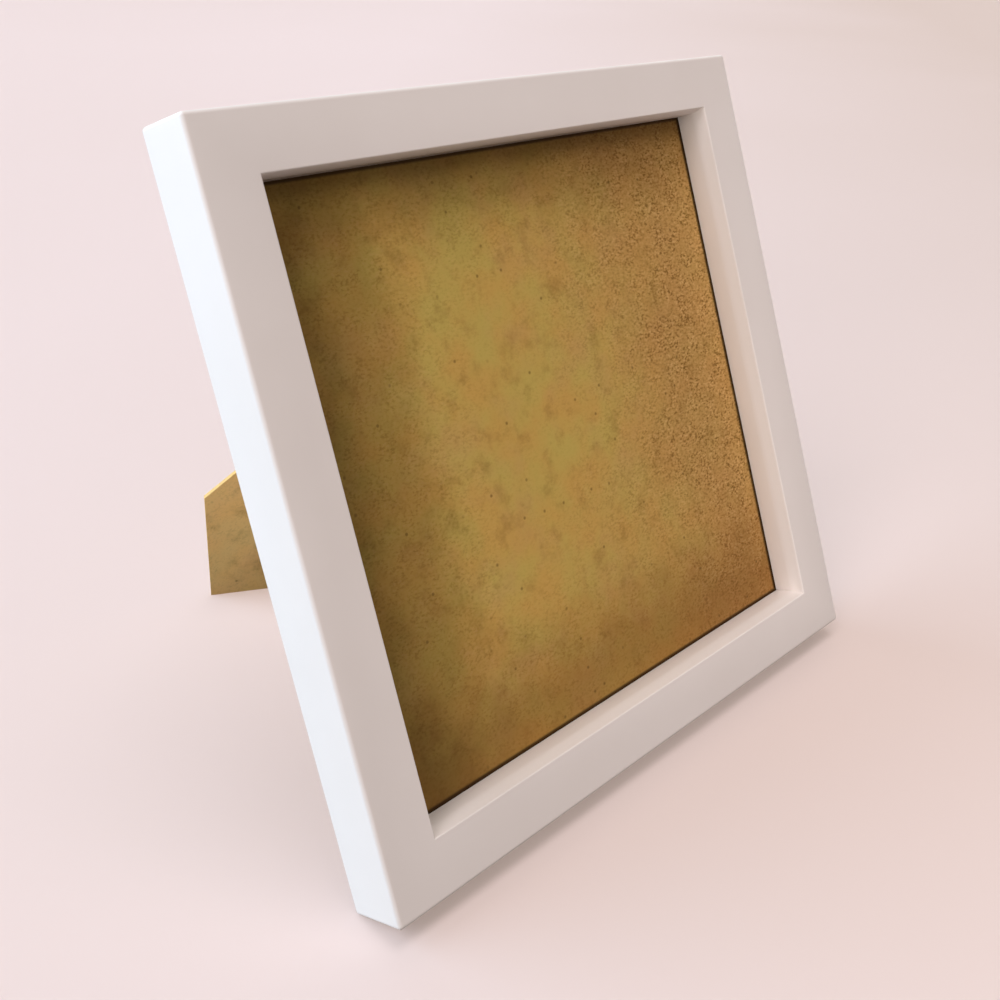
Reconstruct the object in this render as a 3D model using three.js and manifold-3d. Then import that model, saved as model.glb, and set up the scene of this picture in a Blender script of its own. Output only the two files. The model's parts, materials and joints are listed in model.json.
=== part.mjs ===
import * as THREE from 'three';
import { mergeVertices } from 'three/addons/utils/BufferGeometryUtils.js';
import Module from 'manifold-3d';

// A square white picture frame that stands on a table by an easel back.
// Millimetres, +Z up. The front faces -Y and +X is to the right of someone who looks at it.
// Every piece of the frame is drawn upright first: x to the right, y from the front face to the back,
// z up from the middle of the opening. One group then leans the whole frame back onto its strut.

const wasm = await Module();
wasm.setup();

// Gaps between pieces
const fitGap = 0.3;
const pinClearance = 0.2;
const boardClearance = 0.5;
const mitreGap = 0.3;

// How far a cutter reaches past the piece that it cuts
const cutPast = 1;

// Boards
const boardSize = 202;
const boardThickness = 2;
const boardCorner = 1;

// Rails
const faceWidth = 19.2;
const lipDepth = 12.3;
const lipOverlap = 8.2;
const recessDepth = 4.4;
const frontArris = 1.5;
const sightArris = 1.5;
const sightSlope = 4.5;
const backArris = 1.2;
const cornerRadius = 1.2;

// Nails in the back of the mitres
const nailInset = 4;
const nailLeg = 5;
const nailThickness = 0.6;
const nailHeight = 9;
const nailSink = 0.2;

// Hinge of the strut
const hingeFromCorner = 36;
const openAngle = THREE.MathUtils.degToRad(43);
const leafThickness = 0.6;
const leafWidth = 22;
const leafLength = 14;
const hingePinRadius = 0.75;
const hingePinOverhang = 0.5;
const middleKnuckle = 10;
const knuckleGap = 0.4;
const knuckleRelief = 0.5;
const tongueWidth = 8;
const tongueReach = 4.4;
const tongueLap = 0.15;
const stopGap = 0.15;
const leafRivetEdge = 5;
const leafRivetSpacing = 14;

// Strut
const strutThickness = 2;
const strutTopWidth = 24;
const strutFootWidth = 66;
const strutTipInset = 7;

// Rivets
const rivetShank = 1.2;
const rivetHead = 2.3;
const rivetHeadHeight = 0.6;
const rivetRim = 0.15;
const domeSteps = 4;

// Turn clips
const clipWidth = 9;
const clipThickness = 0.8;
const clipPivotInset = 8.5;
const clipReach = 2.5;
const clipTail = 9;
const clipTabHeight = 3;
const clipCornerRadius = 2;
const clipOffset = 45;

// Hanging ring
const ringRadius = 8;
const wireRadius = 0.75;
const strapThickness = 0.6;
const strapWidth = 10;
const strapLength = 18;
const strapRivetInset = 13.5;
const ringBelowRebate = 14;

// Sizes that follow from the ones above
const boardHalf = boardSize / 2;
const rebateHalf = boardHalf + boardClearance;
const sightHalf = rebateHalf - lipOverlap;
const outerHalf = sightHalf + faceWidth;
const wall = faceWidth - lipOverlap;
const pictureFront = lipDepth + fitGap;
const easelFront = pictureFront + boardThickness + fitGap;
const easelBack = easelFront + boardThickness;
const frameDepth = easelBack + recessDepth;
const hardwareFront = easelBack + fitGap;
const knuckleBore = hingePinRadius + pinClearance;
const knuckleRadius = knuckleBore + leafThickness;
const hingeDepth = hardwareFront + knuckleRadius;
const hingeAt = rebateHalf - hingeFromCorner / Math.SQRT2;
const strutOuter = knuckleBore - fitGap;
const strutInner = strutOuter - strutThickness;
const strutStart = knuckleRadius + knuckleRelief;
const strutLength = (hingeAt + rebateHalf - strutTipInset) * Math.SQRT2;
const rivetHole = rivetShank + fitGap;
const leafRivetInset = leafLength - leafRivetEdge;
const clipEnd = clipPivotInset + clipReach;
const grooveFront = hardwareFront - fitGap;
const grooveBack = hardwareFront + clipThickness + fitGap;
const grooveDepth = Math.hypot(clipEnd, clipWidth / 2) - clipPivotInset + fitGap;
const strapBore = wireRadius + pinClearance;
const ringDepth = hardwareFront + strapBore + strapThickness;
const ringHeight = rebateHalf - ringBelowRebate;

// The frame leans until its lower back edge and the strut's tip touch the table together.
const tipAlong = strutLength * Math.cos(openAngle) - strutInner * Math.sin(openAngle);
const tipOut = strutLength * Math.sin(openAngle) + strutInner * Math.cos(openAngle);
const tipRise = hingeAt - tipAlong / Math.SQRT2 + outerHalf - backArris;
const tipBack = hingeDepth + tipOut - frameDepth + backArris;
const lean = Math.acos(-backArris / Math.hypot(tipRise, tipBack)) - Math.atan2(tipBack, tipRise);

// The foot cut lies flat on the table, and the other cut makes a right angle with it.
const strutDrop = Math.cos(openAngle) * Math.cos(lean) / Math.SQRT2 + Math.sin(openAngle) * Math.sin(lean);
const footCut = Math.atan2(strutDrop * Math.SQRT2, Math.cos(lean));

console.log('outer size', (2 * outerHalf).toFixed(1), 'depth', frameDepth.toFixed(1));
console.log('lean', THREE.MathUtils.radToDeg(lean).toFixed(2), 'strut length', strutLength.toFixed(1));

// Solids from three.js geometry, cut and joined where a piece needs it

function solidOf(geometry) {
  const bare = geometry.index ? geometry.clone() : mergeVertices(geometry.clone());
  bare.deleteAttribute('normal');
  bare.deleteAttribute('uv');
  const merged = mergeVertices(bare, 1e-5);
  const mesh = new wasm.Mesh({
    numProp: 3,
    vertProperties: new Float32Array(merged.attributes.position.array),
    triVerts: new Uint32Array(merged.index.array),
  });
  return new wasm.Manifold(mesh);
}

function geometryOf(solid) {
  const mesh = solid.getMesh();
  const geometry = new THREE.BufferGeometry();
  geometry.setAttribute('position', new THREE.BufferAttribute(new Float32Array(mesh.vertProperties), 3));
  geometry.setIndex(new THREE.BufferAttribute(new Uint32Array(mesh.triVerts), 1));
  geometry.computeVertexNormals();
  return geometry;
}

function polygon(points) {
  return new THREE.Shape(points.map(([x, y]) => new THREE.Vector2(x, y)));
}

function roundedRectangle(left, right, bottom, top, radius) {
  const shape = new THREE.Shape();
  shape.moveTo(left + radius, bottom);
  shape.absarc(right - radius, bottom + radius, radius, -Math.PI / 2, 0);
  shape.absarc(right - radius, top - radius, radius, 0, Math.PI / 2);
  shape.absarc(left + radius, top - radius, radius, Math.PI / 2, Math.PI);
  shape.absarc(left + radius, bottom + radius, radius, Math.PI, 1.5 * Math.PI);
  return shape;
}

function extrude(shape, depth, curveSegments = 6) {
  return new THREE.ExtrudeGeometry(shape, { depth, bevelEnabled: false, curveSegments });
}

// A sheet drawn face on, lying between two depths behind the front face
function sheet(shape, front, thickness) {
  const geometry = extrude(shape, thickness);
  geometry.rotateX(Math.PI / 2);
  geometry.translate(0, front + thickness, 0);
  return geometry;
}

// A strip drawn from its side in x and z, as wide as given along y and centred there
function strip(shape, width, curveSegments = 6) {
  const geometry = extrude(shape, width, curveSegments);
  geometry.rotateX(Math.PI / 2);
  geometry.translate(0, width / 2, 0);
  return geometry;
}

// A hole or a pin along y
function rod(radius, from, to, x = 0, z = 0) {
  const geometry = new THREE.CylinderGeometry(radius, radius, to - from, 20);
  geometry.translate(x, (from + to) / 2, z);
  return geometry;
}

// A hole or a pin along z
function post(radius, from, to, x = 0, y = 0) {
  const geometry = rod(radius, from, to);
  geometry.rotateX(Math.PI / 2);
  geometry.translate(x, y, 0);
  return geometry;
}

function cutAll(solid, cutters) {
  return cutters.reduce((left, cutter) => left.subtract(solidOf(cutter)), solid);
}

function joinAll(pieces) {
  return pieces.map(solidOf).reduce((all, piece) => all.add(piece));
}

function piece(name, geometry, material) {
  const mesh = new THREE.Mesh(geometry, material.clone());
  mesh.name = name;
  return mesh;
}

// Finishes
const whitePaint = new THREE.MeshStandardMaterial({ color: 0xece6e2, roughness: 0.45, metalness: 0 });
const hardboard = new THREE.MeshStandardMaterial({ color: 0xa07c46, roughness: 0.8, metalness: 0 });
const brightSteel = new THREE.MeshStandardMaterial({ color: 0xb9bbbd, roughness: 0.35, metalness: 1 });

const frame = new THREE.Group();

// Rails. The section is drawn from the outer side inwards and from the front to the back.
// Round the opening the arris is a quarter of an ellipse that runs further down the lip than across the face.
function railSection() {
  const section = new THREE.Shape();
  section.moveTo(0, frameDepth - backArris);
  section.lineTo(0, frontArris);
  section.absarc(frontArris, frontArris, frontArris, Math.PI, 1.5 * Math.PI);
  section.lineTo(faceWidth - sightArris, 0);
  section.absellipse(faceWidth - sightArris, sightSlope, sightArris, sightSlope, 1.5 * Math.PI, 2 * Math.PI);
  section.lineTo(faceWidth, lipDepth);
  section.lineTo(wall, lipDepth);
  section.lineTo(wall, grooveFront);
  section.lineTo(wall - grooveDepth, grooveFront);
  section.lineTo(wall - grooveDepth, grooveBack);
  section.lineTo(wall, grooveBack);
  section.lineTo(wall, frameDepth);
  section.lineTo(backArris, frameDepth);
  section.absarc(backArris, frameDepth - backArris, backArris, Math.PI / 2, Math.PI);
  return section;
}

// The straight run is mapped onto the top side, and each end is drawn back to its mitre.
function mitredRun() {
  const run = extrude(railSection(), 1);
  const spots = run.attributes.position;
  for (let i = 0; i < spots.count; i += 1) {
    const inwards = spots.getX(i);
    const depth = spots.getY(i);
    const side = spots.getZ(i) > 0.5 ? 1 : -1;
    const reach = outerHalf - inwards - mitreGap * Math.SQRT1_2;
    spots.setXYZ(i, side * reach, depth, outerHalf - inwards);
  }
  return run;
}

// A bent nail across the upper right mitre, or its slot when it is drawn wider
function bentNail(extra, front, back) {
  const corner = outerHalf - nailInset;
  const outer = corner + nailThickness / 2 + extra;
  const inner = corner - nailThickness / 2 - extra;
  const end = corner - nailLeg - extra;
  const outline = [[outer, outer], [end, outer], [end, inner], [inner, inner], [inner, end], [outer, end]];
  return sheet(polygon(outline), front, back - front);
}

const nailBack = frameDepth - nailSink;
const nailFront = nailBack - nailHeight;
const slotRight = bentNail(fitGap, nailFront - fitGap, frameDepth + cutPast);
const slotLeft = slotRight.clone().rotateY(-Math.PI / 2);
const easedSquare = roundedRectangle(-outerHalf, outerHalf, -outerHalf, outerHalf, cornerRadius);
const easedBlock = sheet(easedSquare, -cutPast, frameDepth + 2 * cutPast);
const railSolid = cutAll(solidOf(mitredRun()).intersect(solidOf(easedBlock)), [slotRight, slotLeft]);
const railGeometry = geometryOf(railSolid);
const nailGeometry = bentNail(0, nailFront, nailBack);

['rail_top', 'rail_right', 'rail_bottom', 'rail_left'].forEach((name, turn) => {
  const rail = piece(name, railGeometry, whitePaint);
  rail.rotation.y = turn * Math.PI / 2;
  frame.add(rail);
  const nail = piece(`v_nail_${turn + 1}`, nailGeometry, brightSteel);
  nail.rotation.y = turn * Math.PI / 2;
  frame.add(nail);
});

// Rivets. Each has a low domed head on a straight rim, a shank and a flat tail that lies in a counterbore.
function rivet(headSeat, tailEnd) {
  const tailSeat = tailEnd + rivetHeadHeight;
  const outline = [
    [0, tailEnd], [rivetHead, tailEnd], [rivetHead, tailSeat], [rivetShank, tailSeat],
    [rivetShank, headSeat], [rivetHead, headSeat],
  ];
  for (let step = 0; step < domeSteps; step += 1) {
    const angle = step / domeSteps * Math.PI / 2;
    const rise = (rivetHeadHeight - rivetRim) * Math.sin(angle);
    outline.push([rivetHead * Math.cos(angle), headSeat + rivetRim + rise]);
  }
  outline.push([0, headSeat + rivetHeadHeight]);
  return new THREE.LatheGeometry(outline.map(([r, y]) => new THREE.Vector2(r, y)), 20);
}

// The holes that a rivet needs in a board, with the counterbore on the board's front
function rivetHoles(front, back, x, z) {
  return [
    rod(rivetHole, front - cutPast, back + cutPast, x, z),
    rod(rivetHead + fitGap, front - cutPast, front + rivetHeadHeight + 2 * fitGap, x, z),
  ];
}

// Turn clips: a flat plate that swings about its rivet, with a finger tab turned up at its inner end
function clipGeometry() {
  const plate = sheet(
    roundedRectangle(-clipWidth / 2, clipWidth / 2, -clipTail, clipEnd, clipCornerRadius),
    0,
    clipThickness,
  );
  const tab = new THREE.BoxGeometry(clipWidth - 2 * clipCornerRadius, clipTabHeight, clipThickness);
  tab.translate(0, clipTabHeight / 2, -clipTail + clipThickness / 2);
  const pivotHole = rod(rivetHole, -cutPast, clipThickness + cutPast);
  return geometryOf(cutAll(joinAll([plate, tab]), [pivotHole]));
}

const clipRise = rebateHalf - clipPivotInset;
const clipShape = clipGeometry();
const clipRivet = rivet(hardwareFront + clipThickness + fitGap, easelFront + fitGap);
const clipSides = [-1, 1, -1, 1];
clipSides.forEach((side, turn) => {
  const place = new THREE.Group();
  place.rotation.y = turn * Math.PI / 2;
  const clip = piece(`turn_clip_${turn + 1}`, clipShape, brightSteel);
  clip.position.set(side * clipOffset, hardwareFront, clipRise);
  const pivot = piece(`clip_rivet_${turn + 1}`, clipRivet, brightSteel);
  pivot.position.set(side * clipOffset, 0, clipRise);
  place.add(clip, pivot);
  frame.add(place);
});

// A leaf with a knuckle: a strip that runs in from -x and curls once round the pin at the origin
function curledLeaf(bore, thickness, length) {
  const radius = bore + thickness;
  const join = Math.PI + Math.asin(bore / radius);
  const shape = new THREE.Shape();
  shape.moveTo(-length, -radius);
  shape.lineTo(0, -radius);
  shape.absarc(0, 0, radius, -Math.PI / 2, join);
  shape.lineTo(-length, -bore);
  const hole = new THREE.Path();
  hole.absarc(0, 0, bore, 0, 2 * Math.PI);
  shape.holes.push(hole);
  return shape;
}

// The hinge is drawn with x along the folded strut towards its tip, y along the pin and z to the back.
const hinge = new THREE.Group();
const towardsTip = new THREE.Vector3(-Math.SQRT1_2, 0, -Math.SQRT1_2);
const alongPin = new THREE.Vector3(-Math.SQRT1_2, 0, Math.SQRT1_2);
const toTheBack = new THREE.Vector3(0, 1, 0);
hinge.setRotationFromMatrix(new THREE.Matrix4().makeBasis(towardsTip, alongPin, toTheBack));
hinge.position.set(hingeAt, hingeDepth, hingeAt);
frame.add(hinge);

const leafRivets = [-leafRivetSpacing / 2, leafRivetSpacing / 2];
const outerKnuckle = (leafWidth - middleKnuckle) / 2 - knuckleGap;
const outerKnuckleAt = (leafWidth - outerKnuckle) / 2;
const plateLength = leafLength - knuckleRadius - knuckleRelief;
const plateMiddle = (leafLength + knuckleRadius + knuckleRelief) / 2;

// Panel leaf: two outer knuckles, a relief for the middle one and a full plate with two rivet holes
const panelPlate = new THREE.BoxGeometry(plateLength, leafWidth, leafThickness);
panelPlate.translate(-plateMiddle, 0, -knuckleBore - leafThickness / 2);
const knuckleStrip = strip(curledLeaf(knuckleBore, leafThickness, leafLength), outerKnuckle);
const panelLeaf = cutAll(
  joinAll([
    panelPlate,
    knuckleStrip.clone().translate(0, outerKnuckleAt, 0),
    knuckleStrip.clone().translate(0, -outerKnuckleAt, 0),
  ]),
  leafRivets.map((y) => post(rivetHole, -knuckleRadius - cutPast, knuckleRadius, -leafRivetInset, y)),
);
hinge.add(piece('hinge_panel_leaf', geometryOf(panelLeaf), brightSteel));
const pinHalf = leafWidth / 2 + hingePinOverhang;
hinge.add(piece('hinge_pin', rod(hingePinRadius, -pinHalf, pinHalf), brightSteel));

// The strut swings about the pin and rests against its stop.
const swing = new THREE.Group();
swing.rotation.y = -openAngle;
hinge.add(swing);

// Strut leaf: the middle knuckle, a full plate on the strut's outer face, and a tongue that meets the
// panel leaf when the strut is open
const strutPlate = new THREE.BoxGeometry(plateLength, leafWidth, leafThickness);
strutPlate.translate(plateMiddle, 0, knuckleBore + leafThickness / 2);
const middleStrip = strip(curledLeaf(knuckleBore, leafThickness, leafLength), middleKnuckle);
middleStrip.rotateY(Math.PI);
const tongueRoot = (knuckleBore + knuckleRadius) / 2 - tongueLap;
const tongue = new THREE.BoxGeometry(tongueReach - tongueRoot, tongueWidth, leafThickness);
tongue.translate(-(tongueReach + tongueRoot) / 2, 0, -knuckleBore + stopGap + leafThickness / 2);
tongue.rotateY(openAngle);
const strutLeaf = cutAll(
  joinAll([strutPlate, middleStrip, tongue]),
  leafRivets.map((y) => post(rivetHole, 0, knuckleRadius + cutPast, leafRivetInset, y)),
);
swing.add(piece('hinge_strut_leaf', geometryOf(strutLeaf), brightSteel));

// Strut board, with countersinks on its inner face for the rivets' tails
const footHalf = strutFootWidth / 2;
const strutOutline = polygon([
  [strutStart, -strutTopWidth / 2],
  [strutLength - footHalf / Math.tan(footCut), -footHalf],
  [strutLength, 0],
  [strutLength - footHalf * Math.tan(footCut), footHalf],
  [strutStart, strutTopWidth / 2],
]);
const strutBoard = extrude(strutOutline, strutThickness);
strutBoard.translate(0, 0, strutInner);
const strutTailDepth = rivetHeadHeight + 2 * fitGap;
const strutCuts = leafRivets.flatMap((y) => [
  post(rivetHole, strutInner - cutPast, strutOuter + cutPast, leafRivetInset, y),
  post(rivetHead + fitGap, strutInner - cutPast, strutInner + strutTailDepth, leafRivetInset, y),
]);
swing.add(piece('strut', geometryOf(cutAll(solidOf(strutBoard), strutCuts)), hardboard));

const strutRivet = rivet(knuckleRadius + fitGap, strutInner + fitGap).rotateX(Math.PI / 2);
const panelRivet = rivet(-knuckleBore + fitGap, easelFront + fitGap - hingeDepth).rotateX(Math.PI / 2);
leafRivets.forEach((y, i) => {
  const onStrut = piece(`strut_rivet_${i + 1}`, strutRivet, brightSteel);
  onStrut.position.set(leafRivetInset, y, 0);
  swing.add(onStrut);
  const onPanel = piece(`panel_rivet_${i + 1}`, panelRivet, brightSteel);
  onPanel.position.set(-leafRivetInset, y, 0);
  hinge.add(onPanel);
});

// Hanging ring: a bent wire ring that swings in the curled end of a riveted strap
const strapStrip = strip(curledLeaf(strapBore, strapThickness, strapLength), strapWidth);
strapStrip.rotateX(-Math.PI / 2);
strapStrip.rotateY(-Math.PI / 2);
const strapHole = rod(rivetHole, -ringDepth, ringDepth, 0, -strapRivetInset);
const strap = piece('hanger_strap', geometryOf(cutAll(solidOf(strapStrip), [strapHole])), brightSteel);
strap.position.set(0, ringDepth, ringHeight);
const strapRivet = piece(
  'hanger_rivet',
  rivet(hardwareFront + strapThickness + fitGap, easelFront + fitGap),
  brightSteel,
);
strapRivet.position.set(0, 0, ringHeight - strapRivetInset);

const hoop = new THREE.TorusGeometry(ringRadius, wireRadius, 12, 48);
hoop.rotateX(Math.PI / 2);
const lowerHalf = new THREE.BoxGeometry(4 * ringRadius, 4 * wireRadius, 2 * ringRadius);
lowerHalf.translate(0, 0, -ringRadius);
const bar = new THREE.CylinderGeometry(wireRadius, wireRadius, 2 * ringRadius, 12);
bar.rotateZ(Math.PI / 2);
const bend = new THREE.SphereGeometry(wireRadius, 12, 8);
const ringSolid = solidOf(hoop).intersect(solidOf(lowerHalf)).add(joinAll([
  bar,
  bend.clone().translate(-ringRadius, 0, 0),
  bend.clone().translate(ringRadius, 0, 0),
]));
const ring = piece('hanger_ring', geometryOf(ringSolid), brightSteel);
ring.position.set(0, ringDepth, ringHeight);
ring.rotation.x = lean;
frame.add(strap, strapRivet, ring);

// Boards. The easel back is drilled for every rivet that it carries.
const boardOutline = roundedRectangle(-boardHalf, boardHalf, -boardHalf, boardHalf, boardCorner);
frame.add(piece('picture_board', sheet(boardOutline, pictureFront, boardThickness), hardboard));

const rivetSpots = [[0, ringHeight - strapRivetInset]];
clipSides.forEach((side, turn) => {
  const spot = new THREE.Vector3(side * clipOffset, 0, clipRise);
  spot.applyAxisAngle(toTheBack, turn * Math.PI / 2);
  rivetSpots.push([spot.x, spot.z]);
});
leafRivets.forEach((y) => {
  const spot = new THREE.Vector3(hingeAt, 0, hingeAt);
  spot.addScaledVector(towardsTip, -leafRivetInset).addScaledVector(alongPin, y);
  rivetSpots.push([spot.x, spot.z]);
});
const easelCuts = rivetSpots.flatMap(([x, z]) => rivetHoles(easelFront, easelBack, x, z));
const easelSheet = solidOf(sheet(boardOutline, easelFront, boardThickness));
frame.add(piece('easel_back', geometryOf(cutAll(easelSheet, easelCuts)), hardboard));

// The frame leans back, and the part's origin is on the table under the middle of the whole outline.
frame.rotation.x = -lean;
const standing = new THREE.Group();
standing.add(frame);
const extent = new THREE.Box3().setFromObject(standing, true);
frame.position.y = -(extent.min.y + extent.max.y) / 2;
frame.position.z = -extent.min.z;

export default standing;
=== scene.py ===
# %% [markdown]
# # A white picture frame on an easel back
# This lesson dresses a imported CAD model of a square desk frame: white painted rails, a mottled
# hardboard panel set deep behind them, and a fold-out strut at the back.
# The solids stay where they are. Each new piece is drawn with mesh operators, put in the place
# of the solid that it stands for, and tied to the body that carries it when a joint moves.

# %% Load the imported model
import json
import math
import bmesh
import bpy
from mathutils import Matrix, Vector


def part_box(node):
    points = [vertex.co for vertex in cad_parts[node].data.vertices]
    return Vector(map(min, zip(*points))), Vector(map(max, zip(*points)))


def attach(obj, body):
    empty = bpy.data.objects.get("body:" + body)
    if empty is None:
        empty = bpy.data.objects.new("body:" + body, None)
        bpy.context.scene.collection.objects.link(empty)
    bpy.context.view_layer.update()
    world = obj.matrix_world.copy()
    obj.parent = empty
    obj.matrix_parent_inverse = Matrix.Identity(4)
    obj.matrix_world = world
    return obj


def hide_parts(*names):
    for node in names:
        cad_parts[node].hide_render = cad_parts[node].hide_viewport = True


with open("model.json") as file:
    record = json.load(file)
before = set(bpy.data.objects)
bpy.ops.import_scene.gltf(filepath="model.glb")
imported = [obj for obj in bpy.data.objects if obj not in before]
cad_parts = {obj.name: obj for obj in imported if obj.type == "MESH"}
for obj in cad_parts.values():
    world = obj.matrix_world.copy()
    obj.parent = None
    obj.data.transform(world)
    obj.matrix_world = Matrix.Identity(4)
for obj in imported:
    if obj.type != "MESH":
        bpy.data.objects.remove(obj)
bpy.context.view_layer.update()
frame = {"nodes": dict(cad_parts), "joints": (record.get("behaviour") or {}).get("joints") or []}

# %% [markdown]
# ## Draw it upright, then lean it back
# The frame leans back on its strut, so nothing on it is level. Working out leaning coordinates for
# every edge would be slow and hard to read. Instead each piece is drawn upright in millimetres:
# x to the right, y from the front face to the back, and z up from the middle of the opening.
# One matrix then leans it and shrinks it to metres. The lean is read from a joint of the model,
# because a clip turns about an axis that points straight out of the back.

# %% The leaning place of the frame
joints = {joint["name"]: joint for joint in frame["joints"]}
out_of_back = Vector(joints["clip_turn_1"]["axis"])
lean = math.atan2(-out_of_back.z, out_of_back.y)
board_middle_depth = 13.6
low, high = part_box("picture_board")
opening_middle = (low + high) / 2 - out_of_back.normalized() * board_middle_depth / 1000
lean_back = Matrix.Translation(opening_middle) @ Matrix.Rotation(-lean, 4, "X") @ Matrix.Scale(0.001, 4)
print("lean", round(math.degrees(lean), 2), "degrees")


# %% Measure a solid in upright millimetres
def upright_box(node):
    to_upright = lean_back.inverted()
    spots = [to_upright @ vertex.co for vertex in frame["nodes"][node].data.vertices]
    return Vector(map(min, zip(*spots))), Vector(map(max, zip(*spots)))


fit_gap = 0.3
rebate_gap = 0.5
rail_low, rail_high = upright_box("rail_top")
outer_half = rail_high.z
sight_half = rail_low.z
frame_back = rail_high.y
board_low, board_high = upright_box("picture_board")
lip_back = board_low.y - fit_gap
rebate_half = board_high.x + rebate_gap
easel_low, easel_high = upright_box("easel_back")
metal_front = easel_high.y + fit_gap
print("outer half", round(outer_half, 2), "sight half", round(sight_half, 2), "depth", round(frame_back, 2))
print("lip ends at", round(lip_back, 2), "metal starts at", round(metal_front, 2))

# %% [markdown]
# ## Camera
# The photograph looks down at the frame from its front left. The square front face gives the
# camera: its four corners and the short edges of its left side fix the place, the tilt and the
# focal length. The picture was cropped after it was taken, so the lens axis doesn't pass through
# its middle, and a small shift puts it back where it was.

# %% Camera from the square face
camera_data = bpy.data.cameras.new("camera")
camera_data.sensor_width = 36
camera_data.lens = 45.023
camera_data.shift_x = -0.1151
camera_data.shift_y = -0.0969
camera_data.clip_start = 0.01
camera = bpy.data.objects.new("camera", camera_data)
bpy.context.scene.collection.objects.link(camera)
pan, tilt, roll = (math.radians(degrees) for degrees in (-50.3421, 66.8906, 3.8017))
looking = Matrix.Rotation(pan, 4, "Z") @ Matrix.Rotation(tilt, 4, "X") @ Matrix.Rotation(roll, 4, "Z")
camera.matrix_world = Matrix.Translation((-0.27873, -0.2987, 0.27823)) @ looking
bpy.context.scene.camera = camera
print("camera", [round(v, 3) for v in camera.matrix_world.translation], "lens", camera_data.lens)

# %% [markdown]
# ## Table and light
# The frame stands on a pale table near a large window on its left. Most of the light comes from
# behind the line of the front face, so the left side is bright and cool and the front is in soft
# shade. The rest skims over the face from the left and from above, and the rails throw a wide
# soft shadow onto the panel along its left and upper edges.
# Suns with a wide angle give such light evenly over the whole table. Two weak ones stand for what
# the walls behind and on the right throw back. A small warm panel stands for the room's front
# corner. It is near, so the right of the frame gets more of it than the left.


# %% Colours are written as sRGB and turned to linear
def colour(hex_text):
    parts = [int(hex_text[i:i + 2], 16) / 255 for i in (0, 2, 4)]
    linear = [c / 12.92 if c <= 0.04045 else ((c + 0.055) / 1.055) ** 2.4 for c in parts]
    return (*linear, 1.0)


print("white is", colour("ffffff"))


# %% One helper adds a node with its settings and links
def add_node(tree, kind, inputs, **settings):
    made = tree.nodes.new(kind)
    for name, value in settings.items():
        setattr(made, name, value)
    for name, value in inputs.items():
        if isinstance(value, bpy.types.NodeSocket):
            tree.links.new(value, made.inputs[name])
        else:
            made.inputs[name].default_value = value
    return made


def new_material(name):
    material = bpy.data.materials.new(name)
    material.use_nodes = True
    return material, material.node_tree, material.node_tree.nodes["Principled BSDF"]


# %% Small helpers for numbers, layers and relief
def combine(tree, operation, *values):
    return add_node(tree, "ShaderNodeMath", dict(enumerate(values)), operation=operation).outputs[0]


def spread(tree, value, low, high, to_low, to_high, course="SMOOTHSTEP"):
    return add_node(
        tree, "ShaderNodeMapRange",
        {"Value": value, "From Min": low, "From Max": high, "To Min": to_low, "To Max": to_high},
        interpolation_type=course,
    ).outputs[0]


def lay_over(tree, amount, below, above):
    return add_node(tree, "ShaderNodeMix", {0: amount, 6: below, 7: above}, data_type="RGBA").outputs[2]


def noise(tree, spot, size, detail, roughness=0.5):
    return add_node(
        tree, "ShaderNodeTexNoise",
        {"Vector": spot, "Scale": 1 / size, "Detail": detail, "Roughness": roughness},
    ).outputs


def raise_relief(tree, shader, height, strength, depth):
    bump = add_node(tree, "ShaderNodeBump", {"Height": height, "Strength": strength, "Distance": depth})
    tree.links.new(bump.outputs["Normal"], shader.inputs["Normal"])


# %% One where the eye, a mirror or a glass looks straight at a surface
def straight_look(tree):
    ray = add_node(tree, "ShaderNodeLightPath", {}).outputs
    direct = combine(tree, "MAXIMUM", ray["Is Camera Ray"], ray["Is Glossy Ray"])
    return combine(tree, "MAXIMUM", direct, ray["Is Transmission Ray"])


# %% Paint of a pale matt table
# The eye and the metal see the table in its pale tone, partly even, so that the shadow under the
# rails stays as light as in a bright room. The table throws back less than that onto the frame.
away_from_window = (0.638, -0.77, 0.0)
even_part = 0.35
table_paint, tree, shader = new_material("pale_matt_table")
spot = add_node(tree, "ShaderNodeTexCoord", {}).outputs["Object"]
distance = add_node(
    tree, "ShaderNodeVectorMath", {0: spot, 1: away_from_window}, operation="DOT_PRODUCT",
).outputs["Value"]
# Painted light: the table is paler towards the window and darker away from it.
painted_window_falloff = spread(tree, distance, -0.3, 0.9, 0.0, 1.0, "LINEAR")
cloud = add_node(tree, "ShaderNodeTexNoise", {"Vector": spot, "Scale": 1.2, "Detail": 2.0}).outputs["Fac"]
uneven = combine(tree, "MULTIPLY_ADD", cloud, 0.3, painted_window_falloff)
tint = lay_over(tree, uneven, colour("f2e5ea"), colour("d0bfb9"))
seen = straight_look(tree)
tree.links.new(lay_over(tree, seen, colour("5a5452"), tint), shader.inputs["Base Color"])
shader.inputs["Roughness"].default_value = 0.85
shader.inputs["Specular IOR Level"].default_value = 0.1
glow = add_node(tree, "ShaderNodeEmission", {"Color": colour("e8d3c6"), "Strength": 1.0})
lit = add_node(
    tree, "ShaderNodeMixShader",
    {0: combine(tree, "MULTIPLY", seen, even_part), 1: shader.outputs["BSDF"], 2: glow.outputs["Emission"]},
)
tree.links.new(lit.outputs["Shader"], tree.nodes["Material Output"].inputs["Surface"])
print("table paint", table_paint.name)

# %% The table
table_half = 12
bm = bmesh.new()
bmesh.ops.create_grid(bm, x_segments=1, y_segments=1, size=table_half)
table_mesh = bpy.data.meshes.new("table")
bm.to_mesh(table_mesh)
bm.free()
table_mesh.materials.append(table_paint)
table = bpy.data.objects.new("table", table_mesh)
bpy.context.scene.collection.objects.link(table)
print("table", table.dimensions[:])


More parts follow.
